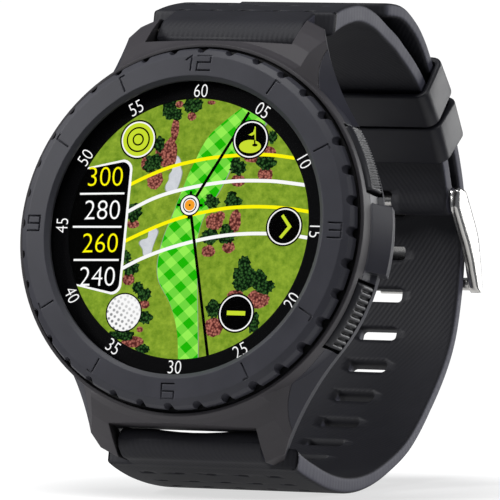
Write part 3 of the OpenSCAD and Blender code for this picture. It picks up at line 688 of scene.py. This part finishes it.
# the spring bars lie 28.2 mm up and down the dial and 10 mm behind its glass
BAR_12 = (28.2 * SIN + 10 * COS, 28.2 * COS - 10 * SIN)
BAR_6 = (-28.2 * SIN + 10 * COS, -28.2 * COS - 10 * SIN)
HINGE = (62.9, 2)             # the buckle's pin
BARREL, BARREL_HALF = 1.78, 10.6      # the strap round a spring bar: radius, half length
LUG_DEPTH = 12.75             # the strap is as narrow as its barrel down to this depth
TAPERED = 11.3                # half the width where the taper ends
long_path = [BAR_6, (9, -32), (17, -34.3), (25, -35.4), (33, -35.2), (41, -33.6), (49, -30.8),
             (57, -25.4), (63.4, -18.5), (66.3, -11), (67.3, -3.5), (66.8, 2.8), (64.9, 8.3),
             (62.3, 12.8), (58.9, 16.7), (55.8, 20.6), (53.2, 23.8), (50, 26.4), (45.4, 28.4),
             (38.2, 28.8)]
short_path = [BAR_12, (19.3, 27.2), (24, 28.1), (29, 28.3), (34.5, 27.3), (39.5, 25.6),
              (44.2, 23.9), (48.6, 21.5), (52.6, 18.6), (56.7, 14.2), (60.2, 9), HINGE]


def strap_width(y, back):
    """Half the strap's width at this distance behind the dial, tapered down to back."""
    if y < 32:
        return lerp(14.0, 12.6, (y - 13) / 19)
    return lerp(12.6, TAPERED, (y - 32) / (back - 32))


def ring_section(half_w, half_t, corner, n_side=10, n_corner=5, n_edge=3):
    """A rounded rectangle as (x, s), where s runs through the thickness."""
    r = min(corner, half_t * 0.98)
    straight, rise = half_w - r, half_t - r
    pts = []

    def line(n, start, stop):
        for i in range(n + 1):
            pts.append((lerp(start[0], stop[0], i / n), lerp(start[1], stop[1], i / n)))

    def arc(x, s, first):
        for i in range(1, n_corner):
            a = first - math.pi / 2 * i / n_corner
            pts.append((x + r * math.cos(a), s + r * math.sin(a)))

    line(n_side, (-straight, half_t), (straight, half_t))
    arc(straight, rise, math.pi / 2)
    line(n_edge, (half_w, rise), (half_w, -rise))
    arc(straight, -rise, 0.0)
    line(n_side, (straight, -half_t), (-straight, -half_t))
    arc(-straight, -rise, -math.pi / 2)
    line(n_edge, (-half_w, -rise), (-half_w, rise))
    arc(-straight, rise, math.pi)
    return pts


def sweep(name, stations, swell=None):
    """A strap from stations (centre, across, half thickness, half width).

    across points from the strap's inside to its outside. swell = (centre, direction, amount,
    half) thickens the barrel round its bar towards the case, away from its middle.
    """
    verts, uvs, rings = [], [], []
    length = 0.0
    last = stations[0][0]
    for centre, across, half_t, half_w in stations:
        length += (centre - last).length
        last = centre
        ring = []
        for x, s in ring_section(half_w, half_t, 0.5):
            p = centre + across * s
            if swell:
                bar_centre, direction, amount, half = swell
                off = p - Vector(bar_centre)
                rise = off.dot(direction)
                if off.length < 2.2 and rise > 0:
                    p = p + direction * (rise * amount * min(1.0, (x / half) ** 2))
            ring.append(len(verts))
            verts.append(side(p[0], p[1], x))
            uvs.append((x, length))
        rings.append(ring)
    mesh = mesh_of(name, verts, skin(rings))
    layer = mesh.uv_layers.new(name="along")
    for loop in mesh.loops:
        u, v = uvs[loop.vertex_index]
        layer.data[loop.index].uv = (u / 10, v / 10)
    return mesh


def strap_stations(path, end, thick, back, up, outward, round_tip=False, end_barrel=0.0,
                   tapered_from=None):
    """Stations along a strap, from the barrel on its spring bar to knot end of its path.

    thick gives the thickness at a knot, up points to the strap's outside at the bar, and
    outward is 1 or -1: which side of the path is the outside. round_tip ends it in a tongue
    shape, and end_barrel in a barrel of that radius.
    """
    start = catmull(path, 0)
    first = tangent(path, 0)
    final = []
    for i in range(8, 0, -1):
        a = math.pi / 2 * i / 8
        final.append((start - first * (BARREL * math.sin(a)), up,
                      max(0.12, BARREL * math.cos(a)), BARREL_HALF))
    steps = 8
    before = None
    for i in range(int(end * steps) + 1):
        t = i / steps
        c = catmull(path, t)
        normal = left_of(tangent(path, t)) * outward
        depth = c.dot(HEAD_BACK)
        blend = smoothstep((depth - 14) / 8)
        across = (up * (1 - blend) + normal * blend).normalized()
        lean = max(0.5, across.dot(normal))
        half_t = lerp(BARREL, thick(t) / 2 / lean, smoothstep(t / 0.45))
        if tapered_from is None or t < tapered_from:
            half_w = strap_width(c[0], back)
        else:
            half_w = TAPERED
        if before and before[4] < LUG_DEPTH <= depth:
            # the shoulder, where the strap widens below the lugs
            u = (LUG_DEPTH - before[4]) / (depth - before[4])
            mid = before[0] + (c - before[0]) * u
            mid_t = before[2] + (half_t - before[2]) * u
            step = (c - before[0]).normalized() * 0.02
            final.append((mid - step, before[1], mid_t, BARREL_HALF))
            final.append((mid, before[1], mid_t, half_w - 0.35))
            final.append((mid + step * 15, before[1], mid_t, half_w))
        final.append((c, across, half_t, BARREL_HALF if depth < LUG_DEPTH else half_w))
        before = (c, across, half_t, half_w, depth)
    if end_barrel:
        heading = tangent(path, len(path) - 1)
        centre = Vector(path[-1])
        for k, (c, across, half_t, half_w) in enumerate(final):
            off = (c - centre).length
            if off <= end_barrel:
                half_t = max(half_t, math.sqrt(max(0.0, end_barrel ** 2 - off ** 2)))
                final[k] = (c, across, half_t, half_w)
        for i in range(1, 9):
            a = math.pi / 2 * i / 8
            final.append((centre + heading * (end_barrel * math.sin(a)), left_of(heading) * outward,
                          max(0.15, end_barrel * math.cos(a)), final[-1][3]))
    if round_tip:
        c, across, half_t, half_w = final[-1]
        heading = tangent(path, end)
        for i in range(1, 13):
            a = math.pi / 2 * i / 12
            tip_t = half_t * (0.6 + 0.4 * math.cos(a)) if i < 12 else half_t * 0.5
            final.append((c + heading * (3.2 * math.sin(a)), across, tip_t,
                          half_w - 8.5 * (1 - math.cos(a))))
    return final


def cutter(name, boxes):
    """Rounded slots to cut: (centre, heading, half width, half height)."""
    verts, faces = [], []
    for c, heading, half_w, half_h in boxes:
        normal = left_of(heading)
        loop = corners(half_w, half_h, min(0.6, half_h * 0.95), 5)
        base, n = len(verts), len(loop)
        for s in (-3, 3):
            for x, h, _, _ in loop:
                p = c + heading * h + normal * s
                verts.append(side(p[0], p[1], x))
        faces.append(tuple(range(base, base + n))[::-1])
        faces.append(tuple(range(base + n, base + 2 * n)))
        for i in range(n):
            j = (i + 1) % n
            faces.append((base + i, base + j, base + n + j, base + n + i))
    return mesh_of(name, verts, faces)


def dimples(name, places):
    """Small oval hollows to cut: (centre on the surface, heading, x)."""
    half_w, half_h, deep = 0.85, 0.45, 0.3
    bm = bmesh.new()
    for c, heading, x in places:
        made = bmesh.ops.create_uvsphere(bm, u_segments=14, v_segments=8, radius=1.0)
        for v in made["verts"]:
            p = c + heading * (v.co.y * half_h) + left_of(heading) * (v.co.z * deep)
            v.co = side(p[0], p[1], x + v.co.x * half_w)
    return finished(bm, name)


def carve(mesh, *tools):
    """Cuts the tool meshes out of mesh, and returns the result."""
    obj = bpy.data.objects.new("temp_body", mesh)
    scene.collection.objects.link(obj)
    helpers = []
    for t in tools:
        tool = bpy.data.objects.new("temp_tool", t)
        scene.collection.objects.link(tool)
        mod = obj.modifiers.new("cut", "BOOLEAN")
        mod.operation = "DIFFERENCE"
        mod.solver = "MANIFOLD"
        mod.object = tool
        helpers.append(tool)
    bpy.context.view_layer.update()
    depsgraph = bpy.context.evaluated_depsgraph_get()
    result = bpy.data.meshes.new_from_object(obj.evaluated_get(depsgraph))
    for o in helpers + [obj]:
        bpy.data.objects.remove(o)
    return result


def strap_material(name, colour, sheen_colour):
    """Silicone with a fine diagonal rib; the sides are painted paler as a sheen."""
    mat = moulded(name, colour, 0.62, grain=7000, grain_depth=0.008, edge=0.2, edge_light=2.6)
    nodes, links = nodes_of(mat)
    tree = mat.node_tree
    bsdf = nodes["Principled BSDF"]
    uv = node(tree, "ShaderNodeUVMap", uv_map="along")
    turn = node(tree, "ShaderNodeMapping", in_Rotation=(0, 0, math.radians(32)))
    rib = node(tree, "ShaderNodeTexWave", wave_type="BANDS", bands_direction="X", in_Scale=5.0,
               in_Distortion=0.6, in_Detail=1.0)
    links.new(uv.outputs["UV"], turn.inputs["Vector"])
    links.new(turn.outputs["Vector"], rib.inputs["Vector"])
    grained = bsdf.inputs["Normal"].links[0].from_socket
    links.new(relief(tree, rib.outputs["Fac"], grained, 0.5, 0.035), bsdf.inputs["Normal"])
    # painted sheen: faces that point sideways take a paler colour, as if light catches the strap's
    # sides
    flat = node(tree, "ShaderNodeNewGeometry").outputs["Normal"]
    sideways = combine(tree, "DOT_PRODUCT", flat, (1, 0, 0), vectors=True)
    side_sheen = remap(tree, combine(tree, "ABSOLUTE", sideways, None), 0.75, 0.97)
    top = bsdf.inputs["Base Color"].links[0].from_socket
    links.new(mix_colour(tree, side_sheen, top, sheen_colour), bsdf.inputs["Base Color"])
    return mat


# the second colour is the painted sheen on the strap's sides
strap_mat = strap_material("strap_silicone", srgb(34, 34, 41), srgb(84, 84, 98))


def dimple_places(path, knots, outward, thick):
    """Five dimples across the strap's outside at each of these knots."""
    places = []
    for t in knots:
        heading = tangent(path, t)
        surface = catmull(path, t) + left_of(heading) * outward * (thick(t) / 2 - 0.02)
        places += [(surface, heading, column * 4.7) for column in range(-2, 3)]
    return places


def long_thick(t):
    """The long half's thickness at knot t."""
    return lerp(2.8, 1.9, t / 5)


def short_thick(t):
    """The short half's thickness at knot t."""
    return lerp(2.8, 2.3, t / 5)


slot_knots = [4.97, 5.67, 6.32, 6.93, 7.55, 8.2, 8.93, 9.72]
ENGAGED = 10.72               # the tongue's slot, which is stretched
long_mesh = sweep("strap_long_mesh",
                  strap_stations(long_path, len(long_path) - 1.45, long_thick, 56, -HEAD_UP, -1,
                                 round_tip=True, tapered_from=9),
                  swell=(BAR_6, HEAD_UP, 0.2, 5.8))
long_cuts = [(catmull(long_path, k), tangent(long_path, k), 2.9, 1.4 if k == ENGAGED else 1.0)
             for k in slot_knots + [ENGAGED]]
long_dots = dimple_places(long_path, [1.15, 1.7, 2.25, 2.8], -1, long_thick)
long_mesh = carve(long_mesh, cutter("slots", long_cuts), dimples("dots", long_dots))
new_object("strap_long_part", long_mesh, strap_mat,
           stands_for=["strap_long"])

short_mesh = sweep("strap_short_mesh", strap_stations(short_path, len(short_path) - 1,
                                                      short_thick, 46, HEAD_UP, 1, end_barrel=1.9))
notch = [(Vector(HINGE) + Vector((0, -1.28)), Vector((0, -1)), 3.0, 2.7)]
short_dots = dimple_places(short_path, [1.1, 1.9, 2.75, 3.5], 1, short_thick)
short_mesh = carve(short_mesh, cutter("notch", notch), dimples("dots", short_dots))
new_object("strap_short_part", short_mesh, strap_mat,
           stands_for=["strap_short"])


# ---- keepers ----
def keeper(name, knot, body, stands_for):
    """A band round both layers of strap, with round corners and edges."""
    inward, outward, wall, length, half_in, corner = 1.75, 4.85, 0.9, 5.8, 11.6, 1.3
    c = catmull(short_path, knot)
    heading = tangent(short_path, knot)
    middle = (outward - inward) / 2
    loop = corners(half_in + wall / 2, (inward + outward + wall) / 2, corner, 6)
    section = corners(wall / 2, length / 2, 0.32, 3)
    verts, faces = [], []
    for x, s, nx, ns in loop:
        for off, along, _, _ in section:
            p = c + heading * along + left_of(heading) * (middle + s + ns * off)
            verts.append(side(p[0], p[1], x + nx * off))
    n, m = len(loop), len(section)
    for i in range(n):
        for j in range(m):
            k, after = (j + 1) % m, (i + 1) % n * m
            faces.append((i * m + j, i * m + k, after + k, after + j))
    new_object(name, mesh_of(name + "_mesh", verts, faces), keeper_mat, body=body,
               stands_for=[stands_for])


keeper_mat = moulded("keeper_silicone", srgb(37, 37, 44), 0.45, edge=0.1, edge_light=2.0)
keeper("keeper_fixed_part", 9.62, CASE, "keeper_fixed")
keeper("keeper_free_part", 8.56, "free_keeper", "keeper_free")


# ---- button caps: curved bars with rounded ends and real ribs or hatching ----
def cap(name, turn, ribs, rib_depth, slant, body, stands_for):
    """A curved bar round the dial's axis, with a domed face and ribs.

    It is centred at turn degrees; ribs is their number over half its length, and slant leans
    them by that many ribs over the cap's height.
    """
    span, low, high = 10.9, -8.5, -4.05       # half its angle; back and front faces
    r_in, r_out = 24.65, 25.85
    n_along, n_face = 180, 14
    height = high - low
    section = [(False, 0.0), (False, 1.0)]    # outer face or not, share of the height
    section += [(True, 1 - j / n_face) for j in range(n_face + 1)]
    verts, rings = [], []
    for i in range(n_along + 1):
        u = -1 + 2 * i / n_along
        end = math.sqrt(max(0.0, 1 - max(0.0, (abs(u) - 0.9) / 0.1) ** 2))
        a = math.radians(turn + u * span)
        rings.append(range(len(verts), len(verts) + len(section)))
        for outer, f in section:
            r = r_in
            if outer:
                edge = min(f, 1 - f) * height
                dome = 1 - 0.35 * max(0.0, 1 - edge / 0.55) ** 2
                front = 0.25 * max(0.0, 1 - (1 - f) * height / 1.1)
                r += (r_out - r_in) * (dome - front) * (0.35 + 0.65 * end)
                if 0.06 < f < 0.76 and abs(u) < 0.92:
                    phase = (u * ribs + slant * f) % 1.0
                    r -= rib_depth * (0.5 - 0.5 * math.cos(2 * math.pi * phase)) ** 2
            verts.append(Vector((r * math.cos(a), r * math.sin(a), low + height * f)) * MM)
    new_object(name, mesh_of(name + "_mesh", verts, skin(rings)), button_mat, body=body,
               matrix=HEAD, stands_for=[stands_for])


cap("button_cap_upper_part", 25, 13, 0.3, 2.0, "button_upper", "button_cap_upper")
cap("button_cap_lower_part", -25, 5.5, 0.5, 0.0, "button_lower", "button_cap_lower")


# ---- buckle: two leaf-shaped rails and the bar between them ----
AROUND = 20                   # points round a rail or a bar


def tube(bm, centres):
    """A closed tube in bm: (y, z, x) points for each ring."""
    rings = [[bm.verts.new(side(*p)) for p in ring] for ring in centres]
    for face in skin(rings):
        bm.faces.new(face)


def rail(bm, x_in, x_out):
    """A leaf-shaped rail with a domed outer face, from the pin down to the far bar."""
    line = [(61.6, 3.8), (62.8, 2.1), (64.9, -0.8), (66.8, -3.6), (68, -6.8), (68.8, -9.6),
            (69.1, -10.7)]
    half = [0.5, 2.1, 2.1, 2, 1.6, 1.25, 0.4]
    steps = 5
    mid_x, rise = (x_in + x_out) / 2, (x_out - x_in) / 2
    rings = []
    for i in range((len(line) - 1) * steps + 1):
        t = i / steps
        k = min(len(half) - 2, int(t))
        w = half[k] + (half[k + 1] - half[k]) * smoothstep(t - k)
        c, n = catmull(line, t), left_of(tangent(line, t))
        ring = []
        for j in range(AROUND):
            a = 2 * math.pi * j / AROUND
            ca, sa = math.cos(a), math.sin(a)
            p = c + n * (math.copysign(abs(ca) ** 0.7, ca) * w)
            ring.append((p[0], p[1], mid_x + math.copysign(abs(sa) ** 0.55, sa) * rise))
        rings.append(ring)
    tube(bm, rings)


def bar(bm, y, z, half, radius, waist):
    """A round bar across the strap, a little thinner at the middle."""
    rings = []
    for i in range(17):
        x = -half + 2 * half * i / 16
        r = radius - waist * (1 - (x / half) ** 2)
        turns = [2 * math.pi * j / AROUND for j in range(AROUND)]
        rings.append([(y + r * math.cos(a), z + r * math.sin(a), x) for a in turns])
    tube(bm, rings)


bm = bmesh.new()
rail(bm, 11.7, 13.2)
rail(bm, -11.7, -13.2)
bar(bm, 68.8, -9.6, 12.4, 0.9, 0.06)
bmesh.ops.recalc_face_normals(bm, faces=bm.faces)
new_object("buckle_frame_part", finished(bm, "buckle_frame_mesh"), buckle_mat, body="buckle",
           stands_for=["buckle_frame"])

# ---- floor, light and camera ----
floor_mat = bpy.data.materials.new("floor_white")
nodes, links = nodes_of(floor_mat)
tree = floor_mat.node_tree
bsdf = nodes["Principled BSDF"]
bsdf.inputs["Base Color"].default_value = (0.3, 0.3, 0.3, 1)
bsdf.inputs["Roughness"].default_value = 0.9
bsdf.inputs["Emission Color"].default_value = (1, 1, 1, 1)
coord = node(tree, "ShaderNodeTexCoord")
reach = combine(tree, "LENGTH", coord.outputs["Object"], None, vectors=True)
# the floor's glow is dimmed near the watch as a painted contact shadow and brightens to white away
# from it; the floor lights the watch less than it shows
glow_with_painted_shadow = remap(tree, reach, 0.024, 0.05, 0.66, 0.96, interpolation_type="SMOOTHSTEP")
ray = node(tree, "ShaderNodeLightPath")
share = remap(tree, ray.outputs["Is Camera Ray"], 0, 1, 0.42, 1)
links.new(combine(tree, "MULTIPLY", glow_with_painted_shadow, share), bsdf.inputs["Emission Strength"])
bm = bmesh.new()
bmesh.ops.create_circle(bm, cap_ends=True, segments=96, radius=0.085)
floor_mesh = finished(bm, "floor_mesh")
floor_mesh.materials.append(floor_mat)
floor = bpy.data.objects.new("floor", floor_mesh)
scene.collection.objects.link(floor)
floor.location.z = cad_box[0][2] - 0.00002

# the surroundings show as white, and light the watch only faintly
world = bpy.data.worlds.new("studio")
scene.world = world
world.use_nodes = True
tree = world.node_tree
dim = tree.nodes["Background"]
dim.inputs["Color"].default_value = (0.88, 0.92, 1, 1)
dim.inputs["Strength"].default_value = 0.12
bright = node(tree, "ShaderNodeBackground", in_Color=(1, 1, 1, 1), in_Strength=1.05)
ray = node(tree, "ShaderNodeLightPath")
pick = node(tree, "ShaderNodeMixShader")
tree.links.new(ray.outputs["Is Camera Ray"], pick.inputs["Fac"])
tree.links.new(dim.outputs["Background"], pick.inputs[1])
tree.links.new(bright.outputs["Background"], pick.inputs[2])
tree.links.new(pick.outputs["Shader"], tree.nodes["World Output"].inputs["Surface"])


def area(name, place, target, size, power):
    """A round area light at place that points at target."""
    light = bpy.data.lights.new(name, "AREA")
    light.shape = "DISK"
    light.size = size
    light.energy = power
    obj = bpy.data.objects.new(name, light)
    scene.collection.objects.link(obj)
    obj.location = place
    obj.rotation_euler = (Vector(target) - Vector(place)).to_track_quat("-Z", "Y").to_euler()


area("key", (-0.75, -0.4, 0.45), (0, -0.01, 0.035), 0.3, 4.2)
area("fill", (-0.05, -0.35, 0.9), (0, 0, 0.02), 0.5, 3.8)
area("rim", (0.75, 0.0, 0.35), (0, 0.02, 0.03), 0.25, 1.1)
area("back_right", (0.4, 0.85, 0.08), (0.01, 0.03, 0.03), 0.5, 2.5)

camera_data = bpy.data.cameras.new("camera")
camera = bpy.data.objects.new("camera", camera_data)
scene.collection.objects.link(camera)
camera_data.sensor_width = 36.0
camera_data.lens = 648.8
camera_data.clip_start = 0.05
camera_data.clip_end = 10.0
camera_data.dof.use_dof = False
azimuth, elevation, roll = (math.radians(a) for a in (25.13, 2.0, 0.47))
away = Vector((math.sin(azimuth) * math.cos(elevation),
               -math.cos(azimuth) * math.cos(elevation), math.sin(elevation)))
right = Vector((math.cos(azimuth), math.sin(azimuth), 0))
up = away.cross(right)
right, up = (right * math.cos(roll) + up * math.sin(roll),
             up * math.cos(roll) - right * math.sin(roll))
eye = DIAL + Vector((0.5175, -1.082, 0.0388))
camera.matrix_world = Matrix([(right[i], up[i], away[i], eye[i]) for i in range(3)]
                             + [(0, 0, 0, 1)])
scene.camera = camera
